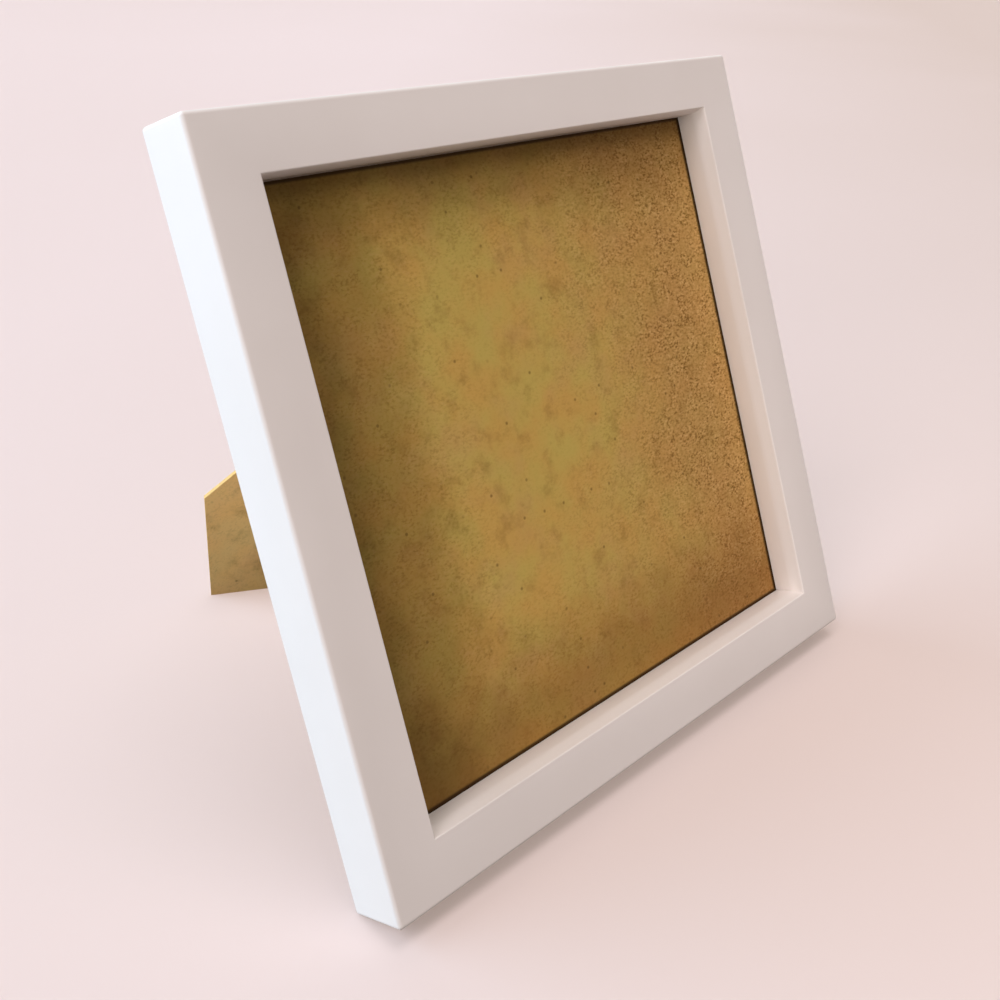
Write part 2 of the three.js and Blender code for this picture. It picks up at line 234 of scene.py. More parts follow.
# %% Window light and room light
def put_lamp(name, kind, place, towards, energy, tint):
    lamp_data = bpy.data.lights.new(name, kind)
    lamp_data.energy = energy
    lamp_data.color = colour(tint)[:3]
    lamp = bpy.data.objects.new(name, lamp_data)
    lamp.location = place
    lamp.rotation_euler = (-Vector(towards)).to_track_quat("Z", "Y").to_euler()
    lamp.visible_camera = False
    bpy.context.scene.collection.objects.link(lamp)
    print(name, kind, "energy", energy)
    return lamp_data


def soft_sun(name, from_where, energy, angle, tint):
    sun = put_lamp(name, "SUN", (0, 0, 1), -Vector(from_where), energy, tint)
    sun.angle = math.radians(angle)


soft_sun("window", (-0.664, 0.664, 0.342), 3.8, 60, "d2ecff")
soft_sun("left_wall", (-0.896, -0.38, 0.232), 0.98, 25, "fff6ee")
soft_sun("upper_window", (-0.644, -0.125, 0.754), 1.07, 30, "fff0ee")
soft_sun("ceiling", (0, -0.1, 0.995), 1.03, 28, "fffaf6")
soft_sun("back_wall", (0.6, 0.69, 0.405), 0.62, 70, "ffeedf")
soft_sun("right_wall", (0.92, 0.25, 0.3), 0.4, 50, "fff4ec")
room_corner = put_lamp("room_corner", "AREA", (0.13, -0.47, 0.22), (-0.13, 0.47, 0.0), 0.58, "ffeae2")
room_corner.size = 0.24
bpy.context.scene.view_settings.view_transform = "Standard"

# %% A pale room behind the table
# The eye and the metal see a pale wall, which gives almost no light of its own.
room = bpy.data.worlds.new("room")
room.use_nodes = True
tree = room.node_tree
dim = tree.nodes["Background"]
dim.inputs["Color"].default_value = colour("fff3ee")
dim.inputs["Strength"].default_value = 0.02
pale = add_node(tree, "ShaderNodeBackground", {"Color": colour("eaddde"), "Strength": 1.0})
wall = add_node(
    tree, "ShaderNodeMixShader",
    {0: straight_look(tree), 1: dim.outputs["Background"], 2: pale.outputs["Background"]},
)
tree.links.new(wall.outputs["Shader"], tree.nodes["World Output"].inputs["Surface"])
bpy.context.scene.world = room
print("room", room.name)

# %% [markdown]
# ## A pattern in the piece's own millimetres
# Every finish is drawn in the axes of its piece, so a grain of half a millimetre is simply a
# scale of two. The Object coordinates of a piece are metres in the leaning world, and a Mapping
# node turns them back into the piece's own upright millimetres.


# %% Coordinates of a finish
def own_millimetres(tree, place):
    back = place.inverted()
    spot = add_node(tree, "ShaderNodeTexCoord", {})
    return add_node(
        tree, "ShaderNodeMapping",
        {
            "Vector": spot.outputs["Object"],
            "Location": back.to_translation(),
            "Rotation": back.to_euler(),
            "Scale": back.to_scale(),
        },
    ).outputs["Vector"]


print("scale to millimetres", [round(s) for s in lean_back.inverted().to_scale()])

# %% [markdown]
# ## Satin white paint
# The rails are sprayed with a white acrylic lacquer. It gives the eye an even satin white with
# soft wide highlights, a very fine orange-peel skin and slightly warmer, thicker paint in places.
# At the back the paint has opened to a hairline over the mitres. Under the upper rail, towards the
# board, the paint is darkened brown with painted shade, for the deep shade of that corner.

# %% Satin white lacquer with hairlines over the mitres
satin_white, tree, shader = new_material("satin_white_lacquer")
spot = own_millimetres(tree, lean_back)
along = add_node(tree, "ShaderNodeSeparateXYZ", {"Vector": spot}).outputs
drift = noise(tree, spot, 40, 3)["Fac"]
paint = lay_over(tree, drift, colour("efebe9"), colour("e7e2df"))
x_size = combine(tree, "ABSOLUTE", along["X"])
z_size = combine(tree, "ABSOLUTE", along["Z"])
off_mitre = combine(tree, "ABSOLUTE", combine(tree, "SUBTRACT", x_size, z_size))
hairline = spread(tree, off_mitre, 0.1, 0.3, 1.0, 0.0, "LINEAR")
at_back = spread(tree, along["Y"], 10.0, 12.0, 0.0, 0.6, "LINEAR")
crack = combine(tree, "MULTIPLY", hairline, at_back)
paint = lay_over(tree, crack, paint, colour("94887f"))
print("paint", satin_white.name)

# %% Painted shade under the upper rail
# It keeps to the underside of the rail, inside the opening and in front of the board.
under_rail_shade_limits = (
    (along["Z"], "GREATER_THAN", sight_half - 0.2),
    (along["Z"], "LESS_THAN", sight_half + 1.1),
    (x_size, "LESS_THAN", sight_half - 0.1),
    (along["Y"], "LESS_THAN", lip_back + 0.1),
)
# Painted shade: darker on the left of the upper rail's underside and towards the board.
painted_under_rail_shade = spread(tree, along["X"], 30.0, 88.0, 1.0, 0.15, "LINEAR")
for value, test, limit in under_rail_shade_limits:
    painted_under_rail_shade = combine(tree, "MULTIPLY", painted_under_rail_shade, combine(tree, test, value, limit))
towards_board = spread(tree, along["Y"], 0.6, 7.0, 0.0, 0.65, "LINEAR")
painted_under_rail_shade = combine(tree, "MULTIPLY", painted_under_rail_shade, towards_board)
tree.links.new(lay_over(tree, painted_under_rail_shade, paint, colour("4a3c28")), shader.inputs["Base Color"])
print("stain within", len(under_rail_shade_limits), "limits")

# %% Satin gloss and orange peel
gloss = spread(tree, drift, 0.3, 0.7, 0.4, 0.52, "LINEAR")
tree.links.new(gloss, shader.inputs["Roughness"])
shader.inputs["Specular IOR Level"].default_value = 0.35
skin = noise(tree, spot, 1.3, 2)["Fac"]
raise_relief(tree, shader, combine(tree, "SUBTRACT", skin, crack), 0.12, 0.0001)
print("paint nodes", len(tree.nodes))

# %% [markdown]
# ## The rails
# Four mitred rails make the frame, and filler and paint hide the joints, so they look like one
# moulding. A section swept round a square could be done with a curve bevel, but a spin of four
# steps is plainer: the section is drawn once on the corner's diagonal, where x equals z, and the
# spin joins each corner to the next with flat faces.
# Round the opening the moulding has a slight slope with a small round nose, which is part of the
# section. Bevels then break the other edges, as a sander does.


# %% A finished bmesh becomes a piece of the object
def weld(bm):
    bmesh.ops.remove_doubles(bm, verts=bm.verts, dist=0.001)
    bmesh.ops.recalc_face_normals(bm, faces=bm.faces)


def keep_piece(bm, name, place, material, body, slot, *nodes):
    bmesh.ops.transform(bm, matrix=place, verts=bm.verts)
    mesh = bpy.data.meshes.new(name)
    bm.to_mesh(mesh)
    bm.free()
    mesh.shade_smooth()
    mesh.set_sharp_from_angle(angle=math.radians(40))
    mesh.materials.append(material)
    piece = bpy.data.objects.new(name, mesh)
    bpy.context.scene.collection.objects.link(piece)
    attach(piece, body)
    if nodes:
        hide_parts(*nodes)
    print(name, len(mesh.polygons), "faces on", body)
    return piece


# %% The section of the moulding
groove_depth = 3.68
groove_room = 1.1
groove_half = rebate_half + groove_depth
groove_front, groove_back = easel_high.y, metal_front + groove_room
sight_inset, sight_slope, sight_radius = 1.15, 4.8, 0.5
slope_angle = math.atan2(sight_inset, sight_slope)
arc_middle = sight_half + sight_inset + sight_radius * (1 - math.sin(slope_angle)) / math.cos(slope_angle)
nose_steps = 8
section = [(outer_half, 0)]
for step in range(nose_steps + 1):
    angle = math.pi / 2 + (slope_angle - math.pi / 2) * step / nose_steps
    section.append((arc_middle - sight_radius * math.cos(angle), sight_radius * (1 - math.sin(angle))))
for share in (0.25, 0.75, 1.0):
    section.append((sight_half + sight_inset * (1 - share), sight_slope * share))
section += [
    (sight_half, sight_slope + 1), (sight_half, lip_back), (rebate_half, lip_back),
    (rebate_half, groove_front), (groove_half, groove_front), (groove_half, groove_back),
    (rebate_half, groove_back), (rebate_half, frame_back), (outer_half, frame_back),
]
print("section", len(section), "points")

# %% Spin the section into a square ring
rails = bmesh.new()
corners = [rails.verts.new((half, depth, half)) for half, depth in section]
for here, there in zip(corners, corners[1:] + corners[:1]):
    rails.edges.new((here, there))
bmesh.ops.spin(
    rails, geom=rails.verts[:] + rails.edges[:], cent=(0, 0, 0), axis=(0, 1, 0),
    angle=math.tau, steps=4, use_merge=True,
)
weld(rails)
print("ring", len(rails.faces), "faces, volume", round(rails.calc_volume() / 1000, 1), "cubic centimetres")

# %% Round the edges
outer_radius, lip_radius, rebate_radius = 1.3, 0.15, 0.5
slack = 0.01


def out_from_middle(vertex):
    return max(abs(vertex.co.x), abs(vertex.co.z))


def edges_between(bm, half, front, back):
    return [
        edge for edge in bm.edges
        if all(
            half - slack <= out_from_middle(v) <= half + slack and front - slack <= v.co.y <= back + slack
            for v in edge.verts
        )
    ]


def round_edges(bm, edges, radius, segments):
    bmesh.ops.bevel(
        bm, geom=edges, offset=radius, offset_type="OFFSET", affect="EDGES",
        segments=segments, profile=0.5, material=-1, clamp_overlap=True,
    )


round_edges(rails, edges_between(rails, outer_half, 0, frame_back), outer_radius, 6)
round_edges(rails, edges_between(rails, sight_half, lip_back, lip_back), lip_radius, 2)
round_edges(rails, edges_between(rails, rebate_half, frame_back, frame_back), rebate_radius, 2)
print("rounded rails", len(rails.faces), "faces")

# %% [markdown]
# Bent nails are pressed into the back of each mitre. Each needs a shallow slot, so the flat back
# is cut along the sides of the slots with planes, and the faces inside an L are pushed in.

# %% Slots for the bent nails
slot_depth = 1
nail_middle = outer_half - 4
slot_near = nail_middle - 0.6
slot_far = nail_middle + 0.6
slot_end = nail_middle - 5.3


def flat_back(bm):
    return [f for f in bm.faces if f.normal.y > 0.99 and f.calc_center_median().y > frame_back - slack]


for direction in (Vector((1, 0, 0)), Vector((0, 0, 1))):
    for distance in (slot_near, slot_far, slot_end):
        for side in (-1, 1):
            faces = flat_back(rails)
            edges = {e for f in faces for e in f.edges}
            spots = {v for f in faces for v in f.verts}
            bmesh.ops.bisect_plane(
                rails, geom=[*faces, *edges, *spots], plane_co=direction * distance * side,
                plane_no=direction, dist=0.0001,
            )
slot_faces = []
for face in flat_back(rails):
    middle = face.calc_center_median()
    across, up = abs(middle.x), abs(middle.z)
    if slot_end < min(across, up) and slot_near < max(across, up) < slot_far:
        slot_faces.append(face)
pushed = bmesh.ops.extrude_face_region(rails, geom=slot_faces)
sunk = [v for v in pushed["geom"] if isinstance(v, bmesh.types.BMVert)]
bmesh.ops.translate(rails, vec=(0, -slot_depth, 0), verts=sunk)
print("slot faces", len(slot_faces))

# %% The painted frame
keep_piece(
    rails, "painted_frame", lean_back, satin_white, "frame", "white_paint",
    "rail_top", "rail_right", "rail_bottom", "rail_left",
)

# %% [markdown]
# ## Plated steel
# The hinge, clips, rivets, nails and hanger are pressed from thin steel and nickel plated in a
# tumbling barrel. That gives a warm grey metal with a soft sheen, faint cloudy dull patches and
# fine scratches that run along the rolled sheet.


# %% Nickel plated steel
def nickel_plate(name, place):
    material, tree, shader = new_material(name)
    spot = own_millimetres(tree, place)
    stretched = add_node(tree, "ShaderNodeMapping", {"Vector": spot, "Scale": (0.25, 4.0, 4.0)})
    scratch = noise(tree, stretched.outputs["Vector"], 1, 3)["Fac"]
    cloud = noise(tree, spot, 5, 4)["Fac"]
    tree.links.new(lay_over(tree, cloud, colour("cfcbc4"), colour("b3afa8")), shader.inputs["Base Color"])
    shader.inputs["Metallic"].default_value = 1.0
    dull = spread(tree, scratch, 0.3, 0.7, 0.24, 0.42, "LINEAR")
    tree.links.new(dull, shader.inputs["Roughness"])
    raise_relief(tree, shader, scratch, 0.15, 0.00005)
    return material


frame_steel = nickel_plate("nickel_plated_steel", lean_back)
print("steel", frame_steel.name)

# %% [markdown]
# ## Bent nails
# A bent nail is a short strip with a fold in its middle, driven on edge across the mitre. Drawing
# only its middle line keeps the fold exact: two edges are pulled down into a sheet, the fold is
# rounded, and Solidify gives the steel its thickness.


# %% Thickness and soft edges for sheet metal
def sheet_metal(piece, thickness):
    thick = piece.modifiers.new("thickness", "SOLIDIFY")
    thick.thickness = thickness / 1000
    thick.offset = 0
    soft = piece.modifiers.new("soft_edges", "BEVEL")
    soft.width = thickness * 0.16 / 1000
    soft.segments = 2
    soft.limit_method = "ANGLE"
    soft.angle_limit = math.radians(50)
    soft.harden_normals = False


def pull(bm, edges, way):
    pulled = bmesh.ops.extrude_edge_only(bm, edges=edges)["geom"]
    moved = [part for part in pulled if isinstance(part, bmesh.types.BMVert)]
    bmesh.ops.translate(bm, vec=way, verts=moved)
    made = [part for part in pulled if isinstance(part, bmesh.types.BMEdge)]
    return [edge for edge in made if all(v in moved for v in edge.verts)]


# %% Four bent nails
nail_reach, nail_height, nail_sunk = 5, 9, 0.2
fold_radius = 0.9
sheet = 0.6
for turn in range(4):
    nail = bmesh.new()
    nail_end = nail_middle - nail_reach
    ends = [(nail_end, nail_middle), (nail_middle, nail_middle), (nail_middle, nail_end)]
    spots = [nail.verts.new((x, frame_back - nail_sunk, z)) for x, z in ends]
    strip = [nail.edges.new(spots[:2]), nail.edges.new(spots[1:])]
    pull(nail, strip, (0, -nail_height, 0))
    fold = [e for e in nail.edges if all(abs(v.co.x - v.co.z) < slack for v in e.verts)]
    round_edges(nail, fold, fold_radius, 4)
    quarter = Matrix.Rotation(turn * math.pi / 2, 4, "Y")
    piece = keep_piece(
        nail, f"bent_nail_{turn + 1}", lean_back @ quarter, frame_steel, "frame", "plated_steel",
        f"v_nail_{turn + 1}",
    )
    sheet_metal(piece, sheet)

# %% [markdown]
# ## Hardboard
# The panel is brown hardboard: wood fibre pressed hot into a thin sheet. The eye sees a tan ground
# with soft olive, golden and rosy clouds of a centimetre or two, dark and light flecks of about a
# millimetre that crowd towards the right and make it browner, a few dark bark specks and smudges.
# Along the left, upper and lower edges it is darkened with painted shade, for the rails' shadow.
# A photograph of a board would be quicker, but it would fix one size and one light. Noise at a few
# real sizes gives the same layers, and each layer is mixed over the one before.


# %% Clouds of three tones, browner where the flecks crowd
def cloudy_ground(tree, clouds, tones, crowd):
    olive, gold, rosy = map(colour, tones)
    ground = lay_over(tree, spread(tree, clouds["Red"], 0.3, 0.7, 0, 1), olive, gold)
    ground = lay_over(tree, spread(tree, clouds["Green"], 0.45, 0.75, 0, 0.45), ground, rosy)
    return lay_over(tree, combine(tree, "MULTIPLY", crowd, 0.75), ground, colour("b38852"))


# %% Dark and light flecks of fibre
def with_flecks(tree, ground, grain, flecks):
    dark = combine(tree, "MULTIPLY", spread(tree, grain, 0.5, 0.35, 0, 0.7), flecks)
    light = combine(tree, "MULTIPLY", spread(tree, grain, 0.52, 0.66, 0, 0.55), flecks)
    ground = lay_over(tree, dark, ground, colour("5f3d14"))
    return lay_over(tree, light, ground, colour("dcb67a"))


# %% Painted shade along the edges, for the rails' shadow
# The rails' shadow is painted in: brown towards the bottom, dark brown outwards, darkest at the top, on the
# left and in the lower left corner.
def with_painted_edge_shade(tree, ground, height, to_left, downwards, outwards, edge_flecks_and_shade):
    ground = lay_over(tree, spread(tree, downwards, 45.0, 115.0, 0, edge_flecks_and_shade), ground, colour("a2683a"))
    ground = lay_over(tree, spread(tree, outwards, 62.0, 98.0, 0, edge_flecks_and_shade), ground, colour("5f400c"))
    to_corner = combine(tree, "MULTIPLY", combine(tree, "ADD", to_left, downwards), 0.5)
    deep_left = spread(tree, to_left, 104.0, 127.0, 0, 1.0)
    deep_corner = spread(tree, to_corner, 82.0, 106.0, 0, 1.0)
    deep_top = spread(tree, height, 82.0, 92.0, 0, 1.5)
    deep = combine(tree, "MAXIMUM", deep_top, combine(tree, "MAXIMUM", deep_left, deep_corner))
    return lay_over(tree, combine(tree, "MULTIPLY", deep, edge_flecks_and_shade), ground, colour("382406"))


# %% A few bark specks
def bark_specks(tree, across, up):
    face = add_node(tree, "ShaderNodeCombineXYZ", {"X": across, "Y": up}).outputs["Vector"]
    cell = add_node(
        tree, "ShaderNodeTexVoronoi", {"Vector": face, "Scale": 1 / 11}, voronoi_dimensions="2D",
    ).outputs
    chosen = spread(tree, cell["Color"], 0.55, 0.75, 0, 1)
    return combine(tree, "MULTIPLY", spread(tree, cell["Distance"], 0.07, 0.02, 0, 0.55), chosen)


# %% Hardboard in layers
# Ways across the board are millimetres from its middle, made ragged by the clouds.
def hardboard(name, place, up, tones, fleck_low, fleck_high, edge_flecks_and_shade):
    material, tree, shader = new_material(name)
    spot = own_millimetres(tree, place)
    along = add_node(tree, "ShaderNodeSeparateXYZ", {"Vector": spot}).outputs
    clouds = add_node(tree, "ShaderNodeSeparateColor", {"Color": noise(tree, spot, 16, 3)["Color"]}).outputs
    to_right = combine(tree, "MULTIPLY_ADD", noise(tree, spot, 45, 3)["Fac"], 90.0, along["X"])
    to_upper_right = combine(tree, "MULTIPLY_ADD", along["Z"], 0.12, to_right)
    crowd = spread(tree, to_upper_right, 35.0, 120.0, fleck_low, fleck_high)
    ground = cloudy_ground(tree, clouds, tones, crowd)
    smudge = spread(tree, noise(tree, spot, 7, 4, 0.65)["Fac"], 0.48, 0.76, 0, 0.34)
    ground = lay_over(tree, smudge, ground, colour("7a5a28"))

    ragged = combine(tree, "MULTIPLY", clouds["Blue"], 24.0)
    downwards = combine(tree, "MULTIPLY_ADD", along["Z"], -1.0, ragged)
    to_left = combine(tree, "MULTIPLY_ADD", along["X"], -1.25, ragged)
    upwards = combine(tree, "MULTIPLY_ADD", along["Z"], 0.86, ragged)
    outwards = combine(tree, "MAXIMUM", combine(tree, "MAXIMUM", to_left, upwards), downwards)

    lying = add_node(tree, "ShaderNodeMapping", {"Vector": spot, "Scale": (0.65, 1.0, 1.0)})
    grain = noise(tree, lying.outputs["Vector"], 0.8, 2, 0.6)["Fac"]
    clump = spread(tree, noise(tree, spot, 6, 3)["Fac"], 0.38, 0.6, 0.45, 1.0)
    crowd_all = combine(tree, "MAXIMUM", crowd, spread(tree, outwards, 30.0, 85.0, 0, edge_flecks_and_shade))
    flecks = combine(tree, "MULTIPLY", crowd_all, clump)
    ground = with_flecks(tree, ground, grain, flecks)
    ground = with_painted_edge_shade(tree, ground, along["Z"], to_left, downwards, outwards, edge_flecks_and_shade)
    speck = bark_specks(tree, along["X"], along[up])
    ground = lay_over(tree, speck, ground, colour("4f3818"))

    x_size = combine(tree, "ABSOLUTE", along["X"])
    z_size = combine(tree, "ABSOLUTE", along["Z"])
    # Painted shade: a thin dark line where the board runs in under the lip.
    painted_lip_shadow = spread(
        tree, combine(tree, "MAXIMUM", x_size, z_size), sight_half - 1.5, sight_half - 0.5, 0, 2.1,
    )
    ground = lay_over(tree, combine(tree, "MULTIPLY", painted_lip_shadow, edge_flecks_and_shade), ground, colour("28180a"))
    tree.links.new(ground, shader.inputs["Base Color"])

    shader.inputs["Specular IOR Level"].default_value = 0.08
    tree.links.new(spread(tree, clouds["Blue"], 0.3, 0.7, 0.68, 0.85), shader.inputs["Roughness"])
    fuzz = combine(tree, "SUBTRACT", combine(tree, "MULTIPLY", grain, flecks), speck)
    raise_relief(tree, shader, fuzz, 0.25, 0.0002)
    return material


# %% The panel and the easel back
panel_tones = ("c1ad5b", "c9a457", "c39c63")
back_tones = ("bda768", "c4a464", "bf9f6c")
panel_board = hardboard("mottled_hardboard", lean_back, "Z", panel_tones, 0.12, 1.0, 0.42)
frame["nodes"]["picture_board"].data.materials[0] = panel_board
back_board = hardboard("easel_hardboard", lean_back, "Z", back_tones, 0.3, 0.4, 0.0)
frame["nodes"]["easel_back"].data.materials[0] = back_board
print("boards", panel_board.name, back_board.name)

# %% [markdown]
# ## The strut
# The strut is a tapered board with a right-angled tip, hinged across the upper corner of the back
# so that the frame can stand either way up. Its solid already has the right outline and the rivet
# holes, so a copy of it is merged, its flat triangles are dissolved, and a fine bevel breaks the
# sawn edges so that they catch the light.

# %% Places of the hinge and of the open strut
half_root = math.sqrt(0.5)
hinge_turn = Matrix((
    (-half_root, -half_root, 0, 0),
    (0, 0, 1, 0),
    (-half_root, half_root, 0, 0),
    (0, 0, 0, 1),
))
hinge_place = lean_back.copy()
hinge_place.translation = Vector(joints["strut_fold"]["pos_m"])
hinge_place = hinge_place @ hinge_turn
open_angle = math.radians(joints["strut_fold"]["range_deg"][1])
strut_place = hinge_place @ Matrix.Rotation(-open_angle, 4, "Y")
print("hinge at", [round(v, 4) for v in hinge_place.translation], "opens", round(math.degrees(open_angle)))

# %% The strut board
strut_tones = ("e2c484", "e8c07d", "e2bb86")
sawn_radius = 0.2
shortest_sawn = 5
strut_material = hardboard("strut_hardboard", strut_place, "Y", strut_tones, 0.12, 0.2, 0.0)
strut = bmesh.new()
strut.from_mesh(frame["nodes"]["strut"].data)
bmesh.ops.transform(strut, matrix=strut_place.inverted(), verts=strut.verts)
bmesh.ops.remove_doubles(strut, verts=strut.verts, dist=0.001)
bmesh.ops.dissolve_limit(strut, angle_limit=math.radians(1), verts=strut.verts, edges=strut.edges)
sawn = [
    e for e in strut.edges
    if len(e.link_faces) == 2 and e.calc_face_angle() > math.radians(30) and e.calc_length() > shortest_sawn
]
round_edges(strut, sawn, sawn_radius, 2)
keep_piece(strut, "strut_board", strut_place, strut_material, "strut", "hardboard", "strut")
print("sawn edges", len(sawn))

# %% [markdown]
# ## Rivets
# Soft steel rivets hold the hinge, the clips and the hanger. Each shows a low domed head, and its
# tail is spread flat in a small counterbore on the other side of the board. A rivet is round, so a
# few points of its outline are spun about its axis. The shank is hidden in its hole and left out.

# %% A domed head and a flat tail, spun
head_radius, head_rim, head_dome, head_steps = 2.3, 0.15, 0.45, 6
flat_tail = [(0, 0), (2.1, 0), (2.25, 0.15), (2.2, 0.4), (1.3, 0.6), (0, 0.6)]
tail_front = easel_low.y + fit_gap
domed_head = [(0, 0), (2.2, 0), (head_radius, 0.08)]
for step in range(head_steps + 1):
    angle = step / head_steps * math.pi / 2
    domed_head.append((head_radius * math.cos(angle), head_rim + head_dome * math.sin(angle)))


def spin_outline(bm, outline, centre):
    spots = [bm.verts.new((centre.x + radius, centre.y, centre.z + height)) for radius, height in outline]
    edges = [bm.edges.new(pair) for pair in zip(spots, spots[1:])]
    bmesh.ops.spin(
        bm, geom=spots + edges, cent=centre, axis=(0, 0, 1), angle=math.tau, steps=24, use_merge=True,
    )


def rivet(name, place, x, y, head_seat, tail_end, steel, body, node):
    bm = bmesh.new()
    middle = Vector((x, y, 0))
    spin_outline(bm, [(radius, head_seat + height) for radius, height in domed_head], middle)
    spin_outline(bm, [(radius, tail_end + height) for radius, height in flat_tail], middle)
    weld(bm)
    keep_piece(bm, name, place, steel, body, "plated_steel", node)


print("rivet head", len(domed_head), "points, tail", len(flat_tail), "points")

# %% [markdown]
# ## The hinge
# Two leaves of sheet steel turn on one pin. The panel leaf has a tongue rolled round the pin at each
# end, the strut leaf has one in the middle, and a small stop bent out of the strut leaf meets the
# panel leaf when the strut is open. A leaf is drawn as it is made: a flat strip is pulled out, its
# tongues go on to the pin, and a spin rolls them up. Solidify then gives the sheet its thickness.

# %% Roll tongues of sheet round a pin
pin_radius = 0.75
roll_radius = pin_radius + 0.2 + sheet / 2
leaf_reach, leaf_half, plate_end, leaf_corner = 14, 11, 2.05, 1.5
hinge_steel = nickel_plate("nickel_plated_hinge", hinge_place)
strut_steel = nickel_plate("nickel_plated_strut_leaf", strut_place)


def roll_up(bm, edges, axis):
    spots = list({v for e in edges for v in e.verts})
    bmesh.ops.spin(
        bm, geom=spots + edges, cent=(0, 0, 0), axis=axis, angle=math.radians(300), steps=20,
        use_merge=False,
    )


def round_corners(bm, spots, radius):
    bmesh.ops.bevel(
        bm, geom=spots, offset=radius, offset_type="OFFSET", affect="VERTICES",
        segments=5, profile=0.5, material=-1,
    )


def leaf_strip(bm, knuckle, height, side):
    widths = (-leaf_half, -knuckle, knuckle, leaf_half)
    spots = [bm.verts.new((side * leaf_reach, y, height)) for y in widths]
    edges = [bm.edges.new(pair) for pair in zip(spots, spots[1:])]
    ends = pull(bm, edges, (side * (plate_end - leaf_reach), 0, 0))
    round_corners(bm, [spots[0], spots[-1]], leaf_corner)
    return ends


def middle_of(edge):
    return (edge.verts[0].co + edge.verts[1].co) / 2


print("sheet rolled to a radius of", round(roll_radius, 2))

# %% The panel leaf
panel_knuckle = 5.4
leaf = bmesh.new()
strips = leaf_strip(leaf, panel_knuckle, -roll_radius, -1)
tongues = pull(leaf, [e for e in strips if abs(middle_of(e).y) > panel_knuckle], (plate_end, 0, 0))
roll_up(leaf, tongues, (0, -1, 0))
weld(leaf)
panel_leaf = keep_piece(
    leaf, "panel_leaf", hinge_place, hinge_steel, "frame", "plated_steel", "hinge_panel_leaf",
)
sheet_metal(panel_leaf, sheet)

# %% The pin
rod = bmesh.new()
half_pin = 11.5
round_end = [(0, 0), (0.45, 0), (0.7, 0.12), (pin_radius, 0.35)]
pin_outline = [(radius, height - half_pin) for radius, height in round_end]
pin_outline += [(radius, half_pin - height) for radius, height in reversed(round_end)]
spin_outline(rod, pin_outline, Vector((0, 0, 0)))
weld(rod)
on_its_side = Matrix.Rotation(math.pi / 2, 4, "X")
keep_piece(rod, "pin", hinge_place @ on_its_side, hinge_steel, "frame", "plated_steel", "hinge_pin")

# %% The strut leaf with its stop
strut_knuckle = 5
stop_start, stop_length, stop_half, stop_level = -1.35, 3.05, 4, -0.5
leaf = bmesh.new()
strips = leaf_strip(leaf, strut_knuckle, roll_radius, 1)
tongue = pull(leaf, [e for e in strips if abs(middle_of(e).y) < strut_knuckle], (-plate_end, 0, 0))
roll_up(leaf, tongue, (0, -1, 0))
spots = [leaf.verts.new((stop_start, y, stop_level)) for y in (-stop_half, stop_half)]
pull(leaf, [leaf.edges.new(spots)], (-stop_length, 0, 0))
stop = [v for v in leaf.verts if v.co.z == stop_level and v.co.x < stop_start + slack]
bmesh.ops.rotate(leaf, cent=(0, 0, 0), matrix=Matrix.Rotation(open_angle, 3, "Y"), verts=stop)
weld(leaf)
strut_leaf = keep_piece(
    leaf, "strut_leaf", strut_place, strut_steel, "strut", "plated_steel", "hinge_strut_leaf",
)
sheet_metal(strut_leaf, sheet)

# %% Rivets of the hinge
rivet_reach, rivet_half = 9, 7
seat_gap = 0.02
strut_tail = -1.05
panel_seat = seat_gap + sheet / 2 - roll_radius
strut_seat = seat_gap + sheet / 2 + roll_radius
panel_tail = tail_front - (metal_front + roll_radius + sheet / 2)
for number, y in ((1, -rivet_half), (2, rivet_half)):
    rivet(
        f"panel_leaf_rivet_{number}", hinge_place, -rivet_reach, y, panel_seat, panel_tail, hinge_steel,
        "frame", f"panel_rivet_{number}",
    )
    rivet(
        f"strut_leaf_rivet_{number}", strut_place, rivet_reach, y, strut_seat, strut_tail, strut_steel,
        "strut", f"strut_rivet_{number}",
    )

# %% [markdown]
# ## Turn clips
# Four small clips turn on their rivets, and the end of each slides into a groove in the rail to hold
# the boards in. A clip is a flat plate with round corners, and a finger tab is bent up at its inner
# end. The corners are rounded as vertices, which leaves a straight edge just as wide as the tab.

# %% A clip with its finger tab
clip_plate = 0.8
clip_half_width, clip_half_length, clip_offset = 4.5, 10, 1
clip_corner, tab_height, tab_bend = 2, 3, 0.6
clip_inner_end = clip_offset - clip_half_length + slack


def bent_clip():
    clip = bmesh.new()
    bmesh.ops.create_grid(clip, x_segments=1, y_segments=1, size=1)
    stretch = Matrix.Diagonal((clip_half_width, clip_half_length, 1, 1))
    bmesh.ops.transform(clip, matrix=Matrix.Translation((0, clip_offset, 0)) @ stretch, verts=clip.verts)
    round_corners(clip, clip.verts[:], clip_corner)
    inner_end = [e for e in clip.edges if all(v.co.y < clip_inner_end for v in e.verts)]
    pull(clip, inner_end, (0, 0, clip_plate / 2 - tab_height))
    bend = [e for e in clip.edges if all(v.co.y < clip_inner_end and v.co.z == 0 for v in e.verts)]
    round_edges(clip, bend, tab_bend, 4)
    return clip


print("clip", 2 * clip_half_width, "by", 2 * clip_half_length)

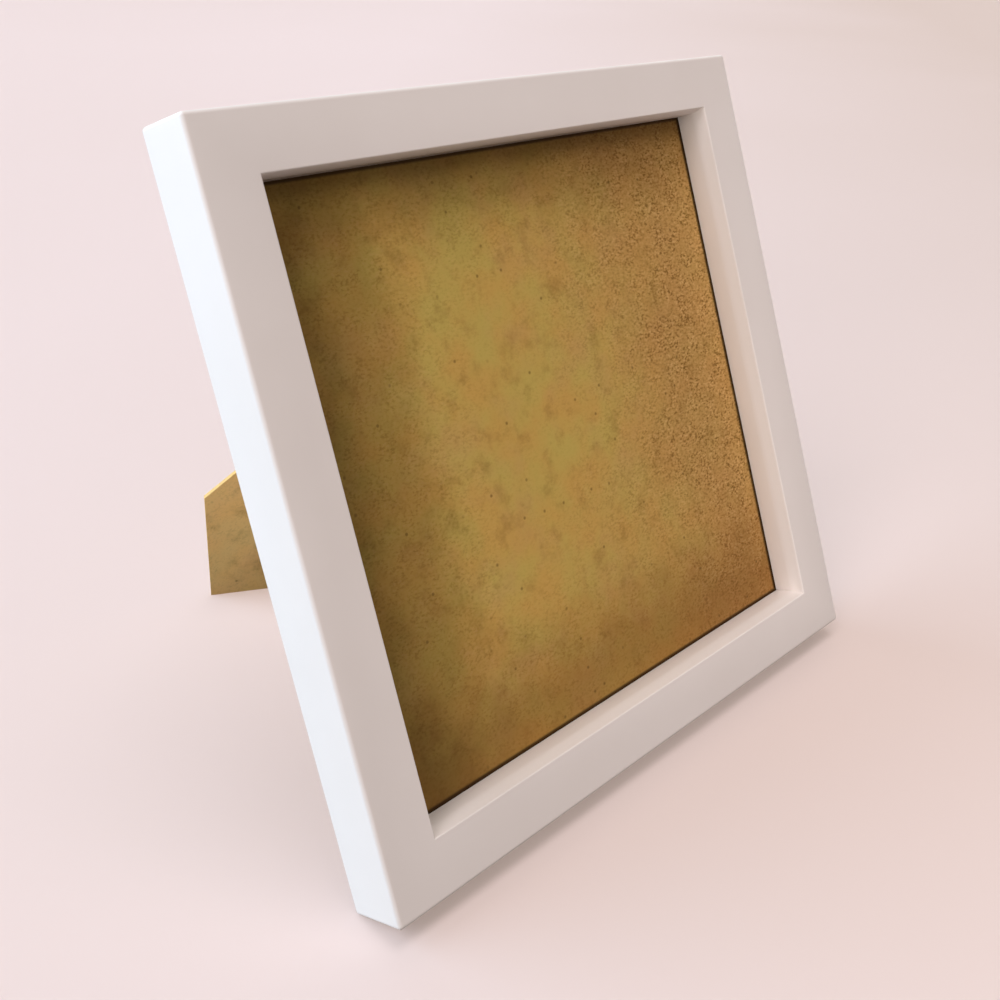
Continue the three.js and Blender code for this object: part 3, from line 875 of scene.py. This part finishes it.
# %% Four turn clips and their rivets
clip_play = 0.1
facing_back = Matrix.Rotation(-math.pi / 2, 4, "X")
clip_spots = ((-45, 93), (93, -45), (45, -93), (-93, 45))
for number, (x, z) in enumerate(clip_spots, 1):
    quarter = Matrix.Rotation((number - 1) * math.pi / 2, 4, "Y")
    seat = Matrix.Translation((x, metal_front + clip_plate / 2, z))
    piece = keep_piece(
        bent_clip(), f"clip_plate_{number}", lean_back @ seat @ quarter @ on_its_side, frame_steel,
        f"clip_{number}", "plated_steel", f"turn_clip_{number}",
    )
    sheet_metal(piece, clip_plate)
    pivot = Matrix.Translation((x, 0, z)) @ facing_back
    rivet(
        f"clip_pivot_{number}", lean_back @ pivot, 0, 0, metal_front + clip_plate + clip_play, tail_front,
        frame_steel, "frame", f"clip_rivet_{number}",
    )

# %% [markdown]
# ## The hanger
# A strap is rolled round the straight bar of a D-ring and riveted under the upper rail, for those
# who hang the frame on a wall. The ring is wire: a circle is pulled along the bar, spun round a
# tight bend and then round the hoop. That is half of it, and a mirror gives the rest.

# %% The strap and its rivet
strap_half, strap_length, strap_corner = 5, 18, 2
ring_depth = metal_front + 1.55
ring_height = rebate_half - 14
rivet_height = ring_height - 13.5
ring_middle = Matrix.Translation((0, ring_depth, ring_height))
strap = bmesh.new()
spots = [strap.verts.new((x, -roll_radius, -strap_length)) for x in (-strap_half, strap_half)]
pull(strap, [strap.edges.new(spots)], (0, 0, strap_length))
round_corners(strap, [v for v in strap.verts if v.co.z < 1 - strap_length], strap_corner)
roll_up(strap, [e for e in strap.edges if all(v.co.z > -slack for v in e.verts)], (-1, 0, 0))
weld(strap)
ring_strap = keep_piece(
    strap, "ring_strap", lean_back @ ring_middle, frame_steel, "frame", "plated_steel", "hanger_strap",
)
sheet_metal(ring_strap, sheet)
strap_rivet = Matrix.Translation((0, 0, rivet_height)) @ facing_back
rivet(
    "strap_rivet", lean_back @ strap_rivet, 0, 0, metal_front + sheet + seat_gap, tail_front, frame_steel,
    "frame", "hanger_rivet",
)


# %% The D-ring
def bend_wire(bm, edges, middle, degrees, steps):
    spots = list({v for e in edges for v in e.verts})
    bent = bmesh.ops.spin(
        bm, geom=spots + edges, cent=middle, axis=(0, 1, 0), angle=math.radians(degrees), steps=steps,
        use_merge=False,
    )
    return [part for part in bent["geom_last"] if isinstance(part, bmesh.types.BMEdge)]


wire_radius = 0.75
tight_bend = 103.34
bend_middle = Vector((6.325, 0, -1.5))
wire = bmesh.new()
bmesh.ops.create_circle(wire, segments=14, radius=wire_radius, cap_ends=False)
bmesh.ops.rotate(wire, cent=(0, 0, 0), matrix=Matrix.Rotation(math.pi / 2, 3, "Y"), verts=wire.verts)
end = pull(wire, wire.edges[:], (bend_middle.x, 0, 0))
end = bend_wire(wire, end, bend_middle, tight_bend, 10)
bend_wire(wire, end, Vector((0, 0, 0)), 180 - tight_bend, 12)
bmesh.ops.mirror(wire, geom=wire.verts[:] + wire.edges[:] + wire.faces[:], axis="X", merge_dist=0.001)
weld(wire)
hanging = ring_middle @ Matrix.Rotation(lean, 4, "X")
keep_piece(wire, "d_ring", lean_back @ hanging, frame_steel, "ring", "plated_steel", "hanger_ring")
